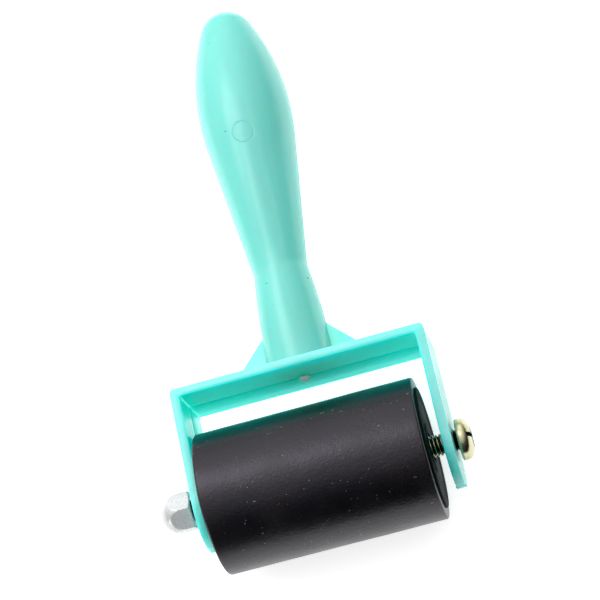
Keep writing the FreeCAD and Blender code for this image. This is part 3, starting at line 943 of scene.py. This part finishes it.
def build_tool():
    """Make every visible piece. The hidden core tube keeps its CAD mesh and only gets a finish."""
    caps = cap_plastic()
    dress(make_frame(), "frame", "mint_plastic", mint_plastic(), "handle_frame")
    dress(make_gate_mark(), "frame", "mint_plastic", gate_plastic())
    dress(make_rubber(), "roller", "black_rubber", black_rubber(), "rubber_sleeve")
    for node in ("end_cap_left", "end_cap_right"):
        dress(make_cap(node), "roller", "cap_plastic", caps, node)
    dress(make_screw(), "axle", "yellow_zinc", yellow_zinc(), "axle_screw")
    dress(make_nut(), "axle", "bright_nickel", bright_nickel(), "cap_nut")
    core = frame["nodes"]["core_tube"].data.materials
    core.clear()
    core.append(core_plastic())


def build_table():
    """A plain sheet of paper under the tool."""
    bm = bmesh.new()
    bmesh.ops.create_grid(bm, x_segments=1, y_segments=1, size=TABLE_HALF_WIDTH)
    mesh = bpy.data.meshes.new("table")
    bm.to_mesh(mesh)
    bm.free()
    table = new_object("table", mesh)
    table.data.materials.append(table_paper())


def add_softbox(name, eye, size, power):
    """A rectangular area light that faces the tool, with its size in metres and power in watts."""
    light = bpy.data.lights.new(name, "AREA")
    light.shape = "RECTANGLE"
    light.size, light.size_y = size
    light.energy = power
    away = (eye - LIGHT_TARGET).normalized()
    turned = away.to_track_quat("Z", "Y").to_matrix().to_4x4()
    new_object(name, light).matrix_world = Matrix.Translation(eye) @ turned


def build_light():
    """A dome of soft light that is brightest above, behind and to the left, and dark at the front."""
    world = bpy.data.worlds.new("studio")
    world.use_nodes = True
    tree = world.node_tree
    source = tree.nodes.new("ShaderNodeTexCoord")
    towards = tree.nodes.new("ShaderNodeVectorMath")
    towards.operation = "DOT_PRODUCT"
    towards.inputs[1].default_value = BRIGHTEST_WAY
    tree.links.new(source.outputs["Generated"], towards.inputs[0])
    brightness = ramp(tree, spread(tree, towards.outputs["Value"], -0.35, 0.95, 0, 1), [
        (0.0, (0, 0, 0)), (0.45, (0.04, 0.04, 0.04)), (0.75, (0.45, 0.45, 0.45)), (1.0, (1, 1, 1)),
    ])
    background = tree.nodes["Background"]
    tree.links.new(brightness, background.inputs["Color"])
    background.inputs["Strength"].default_value = DOME_STRENGTH
    bpy.context.scene.world = world
    add_softbox("softbox_top", Vector((-0.35, 0.5, 0.9)), (0.45, 0.6), 2.5)
    add_softbox("softbox_left", Vector((-0.8, -0.55, 0.2)), (0.5, 0.5), 3.0)


def build_camera():
    """Looks down on the tool's front, from a little beyond the roller and to the right."""
    towards = Vector((
        math.sin(CAMERA_AZIMUTH) * math.cos(CAMERA_ELEVATION),
        math.sin(CAMERA_ELEVATION),
        math.cos(CAMERA_AZIMUTH) * math.cos(CAMERA_ELEVATION),
    ))
    right = Vector((0, 1, 0)).cross(towards).normalized()
    up = towards.cross(right)
    rolled_right = right * math.cos(CAMERA_ROLL) - up * math.sin(CAMERA_ROLL)
    rolled_up = right * math.sin(CAMERA_ROLL) + up * math.cos(CAMERA_ROLL)
    turned = Matrix((rolled_right, rolled_up, towards)).transposed().to_4x4()
    moved = Matrix.Translation(CAMERA_TARGET + towards * CAMERA_DISTANCE)
    camera = new_object("camera", bpy.data.cameras.new("camera"))
    camera.matrix_world = TOOL @ moved @ turned
    camera.data.sensor_width = CAMERA_SENSOR
    camera.data.lens = CAMERA_LENS
    camera.data.shift_x, camera.data.shift_y = CAMERA_SHIFT
    bpy.context.scene.camera = camera


build_tool()
build_table()
build_light()
build_camera()
bpy.context.scene.view_settings.view_transform = "Standard"
